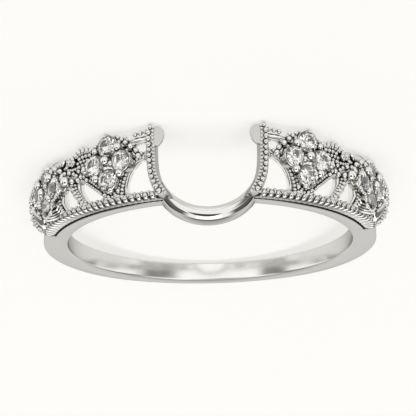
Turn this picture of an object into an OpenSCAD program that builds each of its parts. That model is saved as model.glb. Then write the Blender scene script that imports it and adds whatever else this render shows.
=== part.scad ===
// Ring guard enhancer: a white gold openwork ring whose head is cut out in a
// half circle, so that another ring's stone setting sits in the cut-out.
// Millimetres. The ring lies on its side as it rests by itself: on the tips of
// the two horns at the back of its head and on the bottom of its shank.
// Ring frame used by the modules: +X to one side, -Y from the finger axis
// towards the head, +Z along the finger axis towards the front edge. Angles
// called phi are measured round the finger axis from the middle of the head.

/* [Shank] */
// Inner radius of the finger hole, 8.67 for US size 7
finger_r = 8.67; // [8.2:0.01:9.2]
// Width of the plain shank along the finger axis
shank_w = 1.18; // [1.1:0.02:1.3]
// Radial thickness of the shank at the sides of the finger
side_t = 1.5; // [1.3:0.02:1.6]
// Radial thickness of the shank at its bottom
bottom_t = 1; // [0.9:0.02:1.2]
// Radius of the flatter curve under the bottom of the shank
bottom_curve_r = 12.5; // [12:0.1:14]

/* [Head] */
// Height of the openwork plate's outer face above the finger hole
plate_h = 1.92; // [1.88:0.02:1.96]
// Thickness of the openwork plate
plate_t = 0.56; // [0.5:0.02:0.6]
// Height of the coin-edged front rail above the plate
rail_rise = 0.08; // [0.04:0.02:0.14]
// Depth of the front rail, from its outer face towards the finger
rail_h = 1.02; // [0.9:0.02:1.06]
// Front face of the front rail, from the middle of the shank
rail_front = 0.76; // [0.7:0.02:0.8]
// Width of the back rail
back_rail_w = 0.4; // [0.34:0.02:0.46]

/* [Cut-out for the other ring's setting] */
// Radius of the round cut-out
notch_r = 2.93; // [2.86:0.01:3]
// Middle of the cut-out behind the middle of the shank
notch_back = 1.8; // [1.76:0.02:1.84]
// Outer radius of the plain arc in front of the cut-out
arc_r = 3.29; // [3.26:0.01:3.34]
// Middle of the plain arc's outer curve behind the middle of the shank
arc_back = 1.29; // [1.26:0.01:1.32]
// Radial height of the plain arc
arc_h = 1.16; // [1.1:0.02:1.2]
// How far the plain arc's inner side stays outside the finger hole
arc_clear = 0.02; // [0.01:0.01:0.04]
// Width of the bead-edged collar round the cut-out
collar_w = 0.62; // [0.56:0.02:0.68]
// Radius of the plain upright knob on each horn's tip
knob_r = 0.46; // [0.42:0.01:0.5]

/* [Stones] */
// Diameter of the stones in the two inner clusters
stone_d_inner = 1.28; // [1.2:0.01:1.3]
// Diameter of the stones in the two outer clusters
stone_d_outer = 1.14; // [1.06:0.01:1.16]
// Gap between a stone and its seat
stone_gap = 0.04; // [0.03:0.01:0.05]

/* [Hidden] */
$fn = 96;
gold = "#d9d8d4";
gem = "#eef0f2";

half_w = shank_w / 2;
side_r = finger_r + side_t;
bottom_r = finger_r + bottom_t;
plate_r = finger_r + plate_h;                   // radius of the plate's outer face
under_r = plate_r - plate_t;                    // radius of its inner face
rail_r = plate_r + rail_rise;
k = (plate_r - 0.1) * PI / 180;     // millimetres per degree on the plate

// Back edge of the head seen from above, columns: x from the middle, z
back_edge = [[2.5, -3.55], [2.9, -3.7], [3.3, -3.62], [4, -3.36], [5, -3.3], [6.1, -3.42],
  [6.9, -3.12], [7.6, -3.08], [8.3, -2.86], [9, -2.76], [9.7, -2.6], [11.4, -2.4]];
// Back edge of the head seen from the side, columns: y, z
side_edge = [[-12, -4], [-5.6, -2.8], [-3.6, -2.3], [-1.9, -1.6], [-1.1, -1.2], [-0.7, -0.6], [-0.7, 0.1]];

// Openings of the plate, columns: phi, z
teardrop = [[20.7, -1.7], [22.2, -1.5], [24.3, -1], [25.4, -0.5], [26, 0],
  [25.6, 0.22], [24.6, 0.28], [19.2, 0.28], [18.3, 0.15], [18.5, -0.5], [19.3, -1]];
window = [[20.1, -2.78], [23.4, -2.66], [22.4, -2.3], [20.2, -2.2]];
crescent = [[34.6, 0.26], [37, -0.08], [39.5, -0.42], [41.6, -0.8], [44, -1.08], [45.6, -1.04],
  [45.9, -0.6], [44.6, -0.15], [42, 0.14], [38.5, 0.27]];
slot = [[49.8, -1], [51.6, -0.92], [51.8, -0.3], [50.6, 0.08], [48.4, 0.27], [46.9, 0.24],
  [48.4, -0.15], [49.3, -0.6]];
scroll = [[41.2, -2.36], [43.4, -2.62], [46.4, -2.62], [47.8, -2.34], [45.4, -2.2], [42.6, -2.16]];

// Clusters, columns: phi, z, distance of a stone from the middle round the ring
// and along the finger axis, height of the girdle above the plate's middle circle,
// distance of the outer prongs from the middle both ways
inner_cluster = [32.8, -1.8, 0.93, 1.03, 0.4, 0.84];
outer_cluster = [62.8, -1.3, 0.84, 0.86, 0.4, 0.78];

// Lie of the ring: the horns' knobs and the shank's back edge touch z = 0
knob_x = 2.95;
knob_z = -3.24;
knob_low = finger_r + 0.55;
knob_top = finger_r + 1.66;
touch_z = knob_z - knob_r;
tilt = atan((-half_w - touch_z) / (knob_low + bottom_r));
lift = -(knob_low * sin(tilt) + touch_z * cos(tilt));
y_head = -(sqrt(pow(plate_r + 0.12, 2) - pow(2.52, 2)) * cos(tilt) + 3.66 * sin(tilt));
y_tail = bottom_r * cos(tilt) + half_w * sin(tilt);
shift = -(y_head + y_tail) / 2;

module lie() translate([0, shift, lift]) rotate([-tilt, 0, 0]) children();
module both() for (s = [0, 1]) mirror([s, 0, 0]) children();
// Turns local z to point outwards at phi, local y along the finger axis
module radial(phi) rotate([0, 0, phi]) rotate([90, 0, 0]) children();
// Wedge from phi a to phi b, between two heights along the finger axis
module wedge(a, b, z0, z1) translate([0, 0, z0]) linear_extrude(z1 - z0)
  polygon([[0, 0], [16 * sin(a), -16 * cos(a)], [18 * sin((a + b) / 2), -18 * cos((a + b) / 2)],
    [16 * sin(b), -16 * cos(b)]]);
module tube(r0, r1, z0, z1) difference() {
  disc(r1, z0, z1);
  disc(r0, z0 - 1, z1 + 1);
}
module disc(r, z0, z1, y = 0) translate([0, y, z0]) cylinder(r = r, h = z1 - z0);
module plan(points) rotate([90, 0, 0]) linear_extrude(14) polygon(points);
module opening(phi0, points) radial(phi0) translate([0, 0, finger_r + 0.63]) linear_extrude(4)
  polygon([for (p = points) [(p[0] - phi0) * k, p[1]]]);

// Plain shank: round inside, flatter under its bottom, with flat side faces
module shank() difference() {
  intersection() {
    disc(side_r, -half_w, half_w);
    disc(bottom_curve_r, -half_w, half_w, bottom_r - bottom_curve_r);
  }
  wedge(-57, 57, -2, 2);
}

// Narrow base rail that carries the head's front edge
module base_rail() union() {
  intersection() {
    tube(finger_r, finger_r + 0.63, -0.05, half_w);
    wedge(-58, 58, -1, 1);
  }
  both() intersection() {
    tube(finger_r + 0.2, plate_r, 0.2, half_w);
    wedge(14.5, 79, -1, 1);
  }
}

// Coin-edged front rail, plain here; its beads and flutes are surface detail
module front_rail() both() intersection() {
  tube(rail_r - rail_h, rail_r, 0.24, rail_front);
  wedge(14.5, 79, 0, 1);
}

// Thin curved plate of the head with its raised back rail
module head_outline() intersection() {
  plan([for (i = [len(back_edge) - 1 : -1 : 0]) [-back_edge[i][0], back_edge[i][1]],
    [0, -3.9], each back_edge, [11.4, half_w], [-11.4, half_w]]);
  rotate([90, 0, 90]) translate([0, 0, -12]) linear_extrude(24)
    polygon([each side_edge, [-1.1, half_w], [-12, half_w]]);
}
module plate() intersection() {
  tube(under_r, plate_r, -4, half_w);
  head_outline();
}
module back_rail() intersection() {
  tube(under_r - 0.12, plate_r + 0.1, -4, half_w);
  plan([each back_edge, for (i = [len(back_edge) - 1 : -1 : 0]) back_edge[i] + [0, back_rail_w]]);
  rotate([90, 0, 90]) translate([0, 0, -12]) linear_extrude(24)
    polygon([each side_edge, [-1.1, half_w], [-12, half_w]]);
}

// Collar: deeper wall round the cut-out that ends in a plain knob at each horn
module collar() intersection() {
  tube(finger_r + 0.75, plate_r + 0.12, -3.66, half_w);
  rotate([90, 0, 0]) translate([0, -notch_back, 0]) cylinder(r = notch_r + collar_w, h = 14);
  plan([[2, -4], [2, -2.4], [2.62, -0.6], [2.52, 0.1], [2.8, 0.62], [4, 0.62], [4, -4]]);
}
module knob() translate([knob_x, -knob_low, knob_z]) rotate([90, 0, 0])
  cylinder(r = knob_r, h = knob_top - knob_low);

// Plain polished arc in front of the cut-out, a hair clear of the finger hole's wall
module arc() difference() {
  intersection() {
    tube(finger_r + arc_clear, finger_r + arc_h, -0.7, 3);
    rotate([90, 0, 0]) translate([0, -arc_back, 0]) cylinder(r = arc_r, h = 14);
    plan([[-2.86, 4], [-2.86, -0.6], [2.86, -0.6], [2.86, 4]]);
  }
  notch();
}

// The cut-out: a straight round wall that widens outwards above the arc
module notch() rotate([90, 0, 0]) translate([0, -notch_back, 0]) {
  cylinder(r = notch_r, h = 14);
  translate([0, 0, finger_r + 1.05]) cylinder(r1 = notch_r, r2 = notch_r + 0.9, h = 3);
}

// Girdle radius from the finger axis of a cluster
function girdle(c) = plate_r - 0.04 + c[4];
// Places of a cluster's stones, columns: round the ring, along the finger axis
function places(c) = [[0, c[3]], [-c[2], 0], [c[2], 0], [0, -c[3]]];

// Raised lozenge with the collets of four stones, and the prongs that hold them
module seats(c, d) radial(c[0]) translate([0, c[1], 0]) {
  g = girdle(c);
  translate([0, 0, g - 0.72]) linear_extrude(0.44)
    polygon([[c[2] + 0.95, 0], [0, c[3] + 0.9], [-c[2] - 0.95, 0], [0, -c[3] - 0.62]]);
  for (p = places(c)) translate([p[0], p[1], g - 0.75]) cylinder(r = d / 2 + 0.11, h = 0.73);
}
module prongs(c, d) radial(c[0]) translate([0, c[1], 0]) {
  g = girdle(c);
  q = c[5];
  prong(0, 0, g + 0.17, 0.19);
  for (p = [[q, q], [-q, q], [q, -q], [-q, -q]]) prong(p[0], p[1], g + 0.08, 0.15);
}
module prong(x, y, top, r) translate([x, y, top - 0.8]) {
  cylinder(r = r * 0.86, h = 0.8);
  translate([0, 0, 0.8]) sphere(r = r, $fn = 48);
}
// Stone seats, each with a narrow hole under its stone
module stone_holes(c, d) radial(c[0]) translate([0, c[1], 0])
  for (p = places(c)) translate([p[0], p[1], 0]) {
    g = girdle(c);
    translate([0, 0, 8]) cylinder(r = 0.24, h = g - 8.2);
    translate([0, 0, g - 0.05]) cylinder(r = d / 2 + stone_gap, h = 1);
    translate([0, 0, g - 0.05 - 0.45 * d]) cylinder(r1 = 0.05 * d, r2 = d / 2 + stone_gap, h = 0.45 * d);
  }

// Room behind the shank's flat back face, so that another ring's band lies on it
module back_clear() intersection() {
  disc(side_r + 0.02, -4, -half_w);
  wedge(56, 120, -4, 0);
}

module band() color(gold) lie() difference() {
  union() {
    difference() {
      union() {
        shank();
        base_rail();
        front_rail();
        plate();
        both() back_rail();
        both() collar();
      }
      both() {
        opening(22, teardrop);
        opening(22, window);
        opening(40, crescent);
        opening(49, slot);
        opening(44.5, scroll);
        back_clear();
      }
      notch();
    }
    arc();
    both() {
      knob();
      seats(inner_cluster, stone_d_inner);
      seats(outer_cluster, stone_d_outer);
      prongs(inner_cluster, stone_d_inner);
      prongs(outer_cluster, stone_d_outer);
    }
  }
  disc(finger_r, -3, 3);
  both() {
    stone_holes(inner_cluster, stone_d_inner);
    stone_holes(outer_cluster, stone_d_outer);
  }
}

// Round brilliant: flat table, crown, thin girdle and pointed pavilion
module stone(side, c, d, i) color(gem) lie() mirror([side, 0, 0]) radial(c[0]) {
  p = places(c)[i];
  translate([p[0], c[1] + p[1], girdle(c)]) rotate_extrude()
    polygon([[0, -0.43 * d], [0.5 * d, -0.03], [0.5 * d, 0.01], [0.28 * d, 0.15 * d], [0, 0.15 * d]]);
}

band();
stone(0, inner_cluster, stone_d_inner, 0);  // stone_01
stone(0, inner_cluster, stone_d_inner, 1);  // stone_02
stone(0, inner_cluster, stone_d_inner, 2);  // stone_03
stone(0, inner_cluster, stone_d_inner, 3);  // stone_04
stone(0, outer_cluster, stone_d_outer, 0);  // stone_05
stone(0, outer_cluster, stone_d_outer, 1);  // stone_06
stone(0, outer_cluster, stone_d_outer, 2);  // stone_07
stone(0, outer_cluster, stone_d_outer, 3);  // stone_08
stone(1, inner_cluster, stone_d_inner, 0);  // stone_09
stone(1, inner_cluster, stone_d_inner, 1);  // stone_10
stone(1, inner_cluster, stone_d_inner, 2);  // stone_11
stone(1, inner_cluster, stone_d_inner, 3);  // stone_12
stone(1, outer_cluster, stone_d_outer, 0);  // stone_13
stone(1, outer_cluster, stone_d_outer, 1);  // stone_14
stone(1, outer_cluster, stone_d_outer, 2);  // stone_15
stone(1, outer_cluster, stone_d_outer, 3);  // stone_16
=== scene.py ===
import math

import bpy
import numpy as np
from mathutils import Matrix, Vector
from mathutils.geometry import delaunay_2d_cdt

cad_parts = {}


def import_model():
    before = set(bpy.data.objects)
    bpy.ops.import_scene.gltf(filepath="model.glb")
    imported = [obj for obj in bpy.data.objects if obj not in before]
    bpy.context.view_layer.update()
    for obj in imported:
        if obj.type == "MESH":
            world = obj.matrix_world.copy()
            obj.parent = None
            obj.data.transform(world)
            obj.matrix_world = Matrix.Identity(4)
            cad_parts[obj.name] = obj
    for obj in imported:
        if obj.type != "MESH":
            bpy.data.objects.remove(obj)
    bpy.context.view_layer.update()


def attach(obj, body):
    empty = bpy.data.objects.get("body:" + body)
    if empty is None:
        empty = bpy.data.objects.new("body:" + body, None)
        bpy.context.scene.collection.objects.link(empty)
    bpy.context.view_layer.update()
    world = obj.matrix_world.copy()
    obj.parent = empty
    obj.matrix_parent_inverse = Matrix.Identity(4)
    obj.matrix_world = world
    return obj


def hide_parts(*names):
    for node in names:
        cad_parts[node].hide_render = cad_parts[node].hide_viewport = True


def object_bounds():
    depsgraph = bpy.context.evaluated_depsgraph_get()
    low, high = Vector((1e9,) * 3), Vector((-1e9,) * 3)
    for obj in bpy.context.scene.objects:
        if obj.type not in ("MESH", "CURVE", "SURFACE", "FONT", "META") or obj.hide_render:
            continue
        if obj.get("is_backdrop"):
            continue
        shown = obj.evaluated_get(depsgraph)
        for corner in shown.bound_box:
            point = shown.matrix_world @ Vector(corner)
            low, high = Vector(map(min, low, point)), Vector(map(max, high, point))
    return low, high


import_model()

# ---------------------------------------------------------------- frame
# Shapes are worked out in the ring's own frame, in millimetres: +X to one side,
# -Y from the finger axis to the head, +Z along the finger axis to the front.
# phi is the angle round the finger from the middle of the head, in degrees.
TILT, LIFT, SHIFT = math.radians(9.349157655), 2.153058678806, 0.6141053775194
CT, ST = math.cos(TILT), math.sin(TILT)

FINGER_R = 8.67
HALF_W = 0.59
PLATE_R = 10.59
NOTCH_R, NOTCH_A = 2.93, -1.8
ARC_R, ARC_A = 3.29, -1.29
MM_PER_DEG = 10.49 * math.pi / 180


def world(p):
    p = np.asarray(p, float)
    x, y, z = p[..., 0], p[..., 1], p[..., 2]
    return np.stack([x, y * CT + z * ST + SHIFT, -y * ST + z * CT + LIFT], -1) * 0.001


def turn(v):
    v = np.asarray(v, float)
    return np.array([v[0], v[1] * CT + v[2] * ST, -v[1] * ST + v[2] * CT])


def cyl(phi, r, a):
    """Ring-frame point at angle phi, radius r and height a."""
    f = np.radians(np.asarray(phi, float))
    r = np.asarray(r, float)
    a = np.asarray(a, float)
    f, r, a = np.broadcast_arrays(f, r, a)
    return np.stack([r * np.sin(f), -r * np.cos(f), a], -1)


def plan(x, r, a):
    """Ring-frame point at side distance x, radius r and height a."""
    x, r, a = np.broadcast_arrays(np.asarray(x, float), np.asarray(r, float), np.asarray(a, float))
    return np.stack([x, -np.sqrt(np.maximum(r * r - x * x, 0)), a], -1)


# ---------------------------------------------------------------- mesh tools
class Shape:
    """Closed meshes gathered into one piece, each turned so that it faces out."""

    def __init__(self):
        self.v, self.f, self.n = [], [], 0

    def add(self, v, f, both=False):
        v = np.asarray(v, float)
        f = [tuple(int(i) for i in q) for q in f]
        if volume(v, f) < 0:
            f = [q[::-1] for q in f]
        self.v.append(v)
        self.f.extend(tuple(i + self.n for i in q) for q in f)
        self.n += len(v)
        if both:
            w = v * np.array([-1.0, 1, 1])
            self.v.append(w)
            self.f.extend(tuple(i + self.n for i in q[::-1]) for q in f)
            self.n += len(w)

    def object(self, name, material, smooth=38, replaces=()):
        mesh = bpy.data.meshes.new(name)
        mesh.from_pydata(world(np.concatenate(self.v)).tolist(), [], self.f)
        mesh.validate()
        mesh.polygons.foreach_set("use_smooth", [smooth > 0] * len(mesh.polygons))
        if smooth > 0:
            mesh.set_sharp_from_angle(angle=math.radians(smooth))
        mesh.materials.append(material)
        mesh.update()
        o = bpy.data.objects.new(name, mesh)
        bpy.context.scene.collection.objects.link(o)
        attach(o, "root")
        if replaces:
            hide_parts(*replaces)
        return o


def volume(v, f):
    total = 0.0
    tri = np.array([(q[0], q[i], q[i + 1]) for q in f for i in range(1, len(q) - 1)])
    a, b, c = v[tri[:, 0]], v[tri[:, 1]], v[tri[:, 2]]
    total = np.einsum("ij,ij->i", a, np.cross(b, c)).sum()
    return total


def sweep(rings, closed=False):
    """Mesh through a list of closed sections, each an array of the same number of points."""
    rings = np.asarray(rings, float)
    n, m = rings.shape[:2]
    v = rings.reshape(-1, 3)
    f = []
    for i in range(n if closed else n - 1):
        j = (i + 1) % n
        for k in range(m):
            l = (k + 1) % m
            f.append((i * m + k, i * m + l, j * m + l, j * m + k))
    if not closed:
        f.append(tuple(range(m))[::-1])
        f.append(tuple((n - 1) * m + k for k in range(m)))
    return v, f


def lathe(profile, base, axis, side, count=40):
    """Closed solid turned from (radius, height) rows, from one pole to the other."""
    axis = np.array(axis, float)
    axis /= np.linalg.norm(axis)
    u = np.array(side, float)
    u -= axis * (u @ axis)
    u /= np.linalg.norm(u)
    w = np.cross(axis, u)
    t = np.linspace(0, 2 * np.pi, count, endpoint=False)
    circle = np.cos(t)[:, None] * u + np.sin(t)[:, None] * w
    v = [np.array(base, float) + axis * profile[0][1]]
    for r, h in profile[1:-1]:
        v.extend(np.array(base, float) + axis * h + circle * r)
    v.append(np.array(base, float) + axis * profile[-1][1])
    f, rows = [], len(profile) - 2
    for k in range(count):
        l = (k + 1) % count
        f.append((0, 1 + l, 1 + k))
        for i in range(rows - 1):
            a, b = 1 + i * count, 1 + (i + 1) * count
            f.append((a + k, a + l, b + l, b + k))
        f.append((len(v) - 1, 1 + (rows - 1) * count + k, 1 + (rows - 1) * count + l))
    return np.array(v), f


def ico(level):
    t = (1 + 5 ** 0.5) / 2
    v = [(-1, t, 0), (1, t, 0), (-1, -t, 0), (1, -t, 0), (0, -1, t), (0, 1, t), (0, -1, -t), (0, 1, -t),
         (t, 0, -1), (t, 0, 1), (-t, 0, -1), (-t, 0, 1)]
    f = [(0, 11, 5), (0, 5, 1), (0, 1, 7), (0, 7, 10), (0, 10, 11), (1, 5, 9), (5, 11, 4), (11, 10, 2), (10, 7, 6),
         (7, 1, 8), (3, 9, 4), (3, 4, 2), (3, 2, 6), (3, 6, 8), (3, 8, 9), (4, 9, 5), (2, 4, 11), (6, 2, 10),
         (8, 6, 7), (9, 8, 1)]
    v = [np.array(p, float) / np.linalg.norm(p) for p in v]
    for _ in range(level):
        seen, g = {}, []

        def mid(a, b):
            key = (min(a, b), max(a, b))
            if key not in seen:
                m = v[a] + v[b]
                seen[key] = len(v)
                v.append(m / np.linalg.norm(m))
            return seen[key]

        for a, b, c in f:
            ab, bc, ca = mid(a, b), mid(b, c), mid(c, a)
            g += [(a, ab, ca), (b, bc, ab), (c, ca, bc), (ab, bc, ca)]
        f = g
    return np.array(v), f


BALL = ico(2)
SMALL_BALL = ico(2)


def ball(shape, centre, r, axes=None, both=True, small=False):
    """Round bead; axes is a 3x3 of rows, its own directions, and r may be one radius for each."""
    v, f = SMALL_BALL if small else BALL
    r = np.broadcast_to(np.asarray(r, float), (3,))
    m = np.eye(3) if axes is None else np.asarray(axes)
    shape.add((v * r) @ m + np.asarray(centre), f, both)


def local_axes(phi):
    """Rows: round the ring, along the finger axis, outwards."""
    f = math.radians(phi)
    return np.array([[math.cos(f), math.sin(f), 0], [0, 0, 1.0], [math.sin(f), -math.cos(f), 0]])


def smooth_path(points, step, closed=False):
    """Catmull-Rom curve through rows, in equal steps; distances are in the rows' own units."""
    p = np.asarray(points, float)
    n = len(p)
    out = []
    idx = range(n if closed else n - 1)
    for i in idx:
        if closed:
            a, b, c, d = p[(i - 1) % n], p[i], p[(i + 1) % n], p[(i + 2) % n]
        else:
            a, b, c, d = p[max(i - 1, 0)], p[i], p[i + 1], p[min(i + 2, n - 1)]
        for t in np.linspace(0, 1, 24, endpoint=False):
            out.append(0.5 * (2 * b + (c - a) * t + (2 * a - 5 * b + 4 * c - d) * t * t
                              + (3 * b - a - 3 * c + d) * t ** 3))
    out.append(p[0] if closed else p[-1])
    out = np.array(out)
    s = np.concatenate([[0], np.cumsum(np.linalg.norm(np.diff(out, axis=0), axis=1))])
    count = max(2, int(round(s[-1] / step)) + 1)
    q = np.linspace(0, s[-1], count)
    res = np.stack([np.interp(q, s, out[:, k]) for k in range(p.shape[1])], 1)
    return res[:-1] if closed else res


def flat(points):
    """(phi, a) or (phi, a, radius) rows with phi turned to millimetres on the plate."""
    p = np.asarray(points, float).copy()
    p[:, 0] *= MM_PER_DEG
    return p


def wrap(s, a, r):
    """Millimetres on the plate to ring-frame points."""
    return cyl(np.asarray(s) / MM_PER_DEG, r, a)


def sideways(path, closed=False):
    """Unit vectors on the plate to the left of a path."""
    p = path[:, :2]
    t = np.roll(p, -1, 0) - np.roll(p, 1, 0) if closed else np.gradient(p, axis=0)
    t /= np.maximum(np.linalg.norm(t, axis=1, keepdims=True), 1e-9)
    return np.stack([-t[:, 1], t[:, 0]], 1)


def offset(path, d, closed=False):
    """Path moved sideways by d, to its left."""
    out = path.copy()
    out[:, :2] += d * sideways(path, closed)
    return out


def hump(points, height):
    """Rows given a radius where they have none."""
    p = np.asarray(points, float)
    return p if p.shape[1] == 3 else np.column_stack([p, np.full(len(p), height)])


def milgrain(shape, points, r=0.12, pitch=0.24, height=10.56, side=0.0, start=0.0, long=1.0, closed=False):
    """Row of small beads along (phi, a) or (phi, a, radius) rows, moved sideways by side."""
    fine = smooth_path(flat(hump(points, height)), 0.03, closed)
    if side:
        fine = offset(fine, side, closed)
    s = np.concatenate([[0], np.cumsum(np.linalg.norm(np.diff(fine, axis=0), axis=1))])
    count = max(1, int(round(s[-1] / pitch)))
    for i in range(count):
        q = (i + 0.5 + start) * s[-1] / count
        if q > s[-1]:
            continue
        x, a, h = (np.interp(q, s, fine[:, j]) for j in range(3))
        k = 1 + 0.07 * math.sin(12.9 * i + 3.1 * len(fine))
        ball(shape, wrap(x, a, h), (r * k, r * k, r * long), local_axes(x / MM_PER_DEG), small=True)


def strip(shape, points, width, height=10.5, depth=0.4, edge=0.05, step=0.09, closed=False, taper=0.0):
    """Raised band along (phi, a) or (phi, a, radius) rows with rounded upper edges."""
    path = smooth_path(flat(hump(points, height)), step, closed)
    n = len(path)
    nrm = sideways(path, closed)
    rings = []
    for i in range(n):
        w, top = width / 2, path[i, 2]
        if taper and not closed:
            w *= min(1.0, 0.35 + min(i, n - 1 - i) / (n - 1) / taper)
        rows = [(-w, top - depth), (-w, top - edge), (-w + 0.3 * edge, top - 0.3 * edge), (-w + edge, top),
                (0, top + 0.15 * edge),
                (w - edge, top), (w - 0.3 * edge, top - 0.3 * edge), (w, top - edge), (w, top - depth)]
        rings.append([wrap(path[i, 0] + nrm[i, 0] * d, path[i, 1] + nrm[i, 1] * d, r) for d, r in rows])
    v, f = sweep(rings, closed)
    shape.add(v, f, True)


def wire(shape, points, r, height=10.5, step=0.07, count=8):
    """Round wire along (phi, a, radius) rows."""
    path = smooth_path(flat(hump(points, height)), step)
    pts = wrap(path[:, 0], path[:, 1], path[:, 2])
    t = np.gradient(pts, axis=0)
    t /= np.linalg.norm(t, axis=1, keepdims=True)
    rings = []
    for i in range(len(pts)):
        up = local_axes(path[i, 0] / MM_PER_DEG)[2]
        u = up - t[i] * (up @ t[i])
        u /= np.linalg.norm(u)
        w = np.cross(t[i], u)
        k = 0.35 if i in (0, len(pts) - 1) else 1.0
        rings.append([pts[i] + r * k * (math.cos(q) * u + math.sin(q) * w)
                      for q in np.linspace(0, 2 * np.pi, count, endpoint=False)])
    v, f = sweep(rings)
    shape.add(v, f, True)


def inside(poly, q):
    """Which points q lie inside the closed polygon."""
    x, y = q[:, 0], q[:, 1]
    hit = np.zeros(len(q), bool)
    j = len(poly) - 1
    for i in range(len(poly)):
        a, b = poly[i], poly[j]
        cross = (a[1] > y) != (b[1] > y)
        with np.errstate(divide="ignore", invalid="ignore"):
            xs = (b[0] - a[0]) * (y - a[1]) / (b[1] - a[1]) + a[0]
        hit ^= cross & (x < xs)
        j = i
    return hit


def edge_distance(loops, q):
    """Distance of each point to the nearest of the loops."""
    best = np.full(len(q), 1e9)
    for loop in loops:
        a = loop
        b = np.roll(loop, -1, 0)
        d = b - a
        l2 = np.maximum((d * d).sum(1), 1e-12)
        for s in range(0, len(q), 2000):
            p = q[s:s + 2000, None, :] - a[None]
            t = np.clip((p * d[None]).sum(-1) / l2, 0, 1)
            e = p - t[..., None] * d[None]
            best[s:s + 2000] = np.minimum(best[s:s + 2000], np.sqrt((e * e).sum(-1)).min(1))
    return best


def sheet(shape, outline, holes, top, bottom, step=0.12, rim=0.07):
    """Curved plate cut from the cylinder wall: outline and holes are (phi, a) rows.
    Its edges are rounded over by rim. top and bottom are radii, or functions of phi and a."""
    loops = [smooth_path(flat(outline), step, True)] + [smooth_path(flat(h), step * 0.8, True) for h in holes]
    for i, l in enumerate(loops):
        area = 0.5 * np.sum(l[:, 0] * np.roll(l[:, 1], -1) - np.roll(l[:, 0], -1) * l[:, 1])
        if (area < 0) == (i == 0):
            loops[i] = l[::-1].copy()
    points, edges = [], []
    for l in loops:
        base = len(points)
        points.extend(l.tolist())
        edges.extend((base + k, base + (k + 1) % len(l)) for k in range(len(l)))
    on_edge = len(points)
    extra = [offset(l, d, True) for l in loops for d in (0.3 * rim, rim)]
    lo, hi = loops[0].min(0), loops[0].max(0)
    gx, gy = np.meshgrid(np.arange(lo[0], hi[0], step), np.arange(lo[1], hi[1], step * 0.87))
    gx = gx + (np.arange(gx.shape[0])[:, None] % 2) * step / 2
    grid = np.stack([gx.ravel(), gy.ravel()], 1)
    keep = inside(loops[0], grid)
    for l in loops[1:]:
        keep &= ~inside(l, grid)
    grid = grid[keep]
    grid = grid[edge_distance(loops, grid) > rim + 0.4 * step]
    more = np.concatenate(extra)
    keep = inside(loops[0], more)
    for l in loops[1:]:
        keep &= ~inside(l, more)
    more = more[keep]
    more = more[edge_distance(loops, more) > 0.2 * rim]
    allp = points + more.tolist() + grid.tolist()
    v2, _, f2, *_ = delaunay_2d_cdt([Vector(p) for p in allp], edges, [], 0, 1e-6)
    v2 = np.array([tuple(p) for p in v2])
    tri = np.array([tuple(t) for t in f2])
    mid = v2[tri].mean(1)
    keep = inside(loops[0], mid)
    for l in loops[1:]:
        keep &= ~inside(l, mid)
    tri = tri[keep]
    used = np.unique(tri)
    back = -np.ones(len(v2), int)
    back[used] = np.arange(len(used))
    v2, tri = v2[used], back[tri]
    d = edge_distance(loops, v2)
    drop = rim - np.sqrt(np.maximum(rim ** 2 - np.maximum(rim - d, 0) ** 2, 0))
    phi = v2[:, 0] / MM_PER_DEG
    rt = top(phi, v2[:, 1]) if callable(top) else np.full(len(v2), float(top))
    rb = bottom(phi, v2[:, 1]) if callable(bottom) else np.full(len(v2), float(bottom))
    n = len(v2)
    v = np.concatenate([wrap(v2[:, 0], v2[:, 1], rt - drop), wrap(v2[:, 0], v2[:, 1], rb + 0.5 * drop)])
    f = [tuple(t) for t in tri] + [tuple(t[::-1] + n) for t in tri]
    seen = {}
    for t in tri:
        for a, b in ((t[0], t[1]), (t[1], t[2]), (t[2], t[0])):
            seen[(a, b)] = seen.get((a, b), 0) + 1
    for (a, b) in seen:
        if (b, a) not in seen:
            f.append((b, a, a + n, b + n))
    shape.add(v, f, True)


# ---------------------------------------------------------------- materials
def material(name):
    m = bpy.data.materials.new(name)
    m.use_nodes = True
    nodes, links = m.node_tree.nodes, m.node_tree.links
    nodes.clear()
    out = nodes.new("ShaderNodeOutputMaterial")
    out.location = (600, 0)
    shader = nodes.new("ShaderNodeBsdfPrincipled")
    shader.location = (300, 0)
    links.new(shader.outputs["BSDF"], out.inputs["Surface"])
    return m, nodes, links, shader


def noise(nodes, links, scale, detail=3.0, rough=0.55):
    coord = nodes.new("ShaderNodeTexCoord")
    n = nodes.new("ShaderNodeTexNoise")
    n.inputs["Scale"].default_value = scale
    n.inputs["Detail"].default_value = detail
    n.inputs["Roughness"].default_value = rough
    links.new(coord.outputs["Object"], n.inputs["Vector"])
    return n


def span(nodes, links, source, low, high):
    r = nodes.new("ShaderNodeMapRange")
    r.inputs["To Min"].default_value = low
    r.inputs["To Max"].default_value = high
    links.new(source, r.inputs["Value"])
    return r.outputs["Result"]


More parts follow.
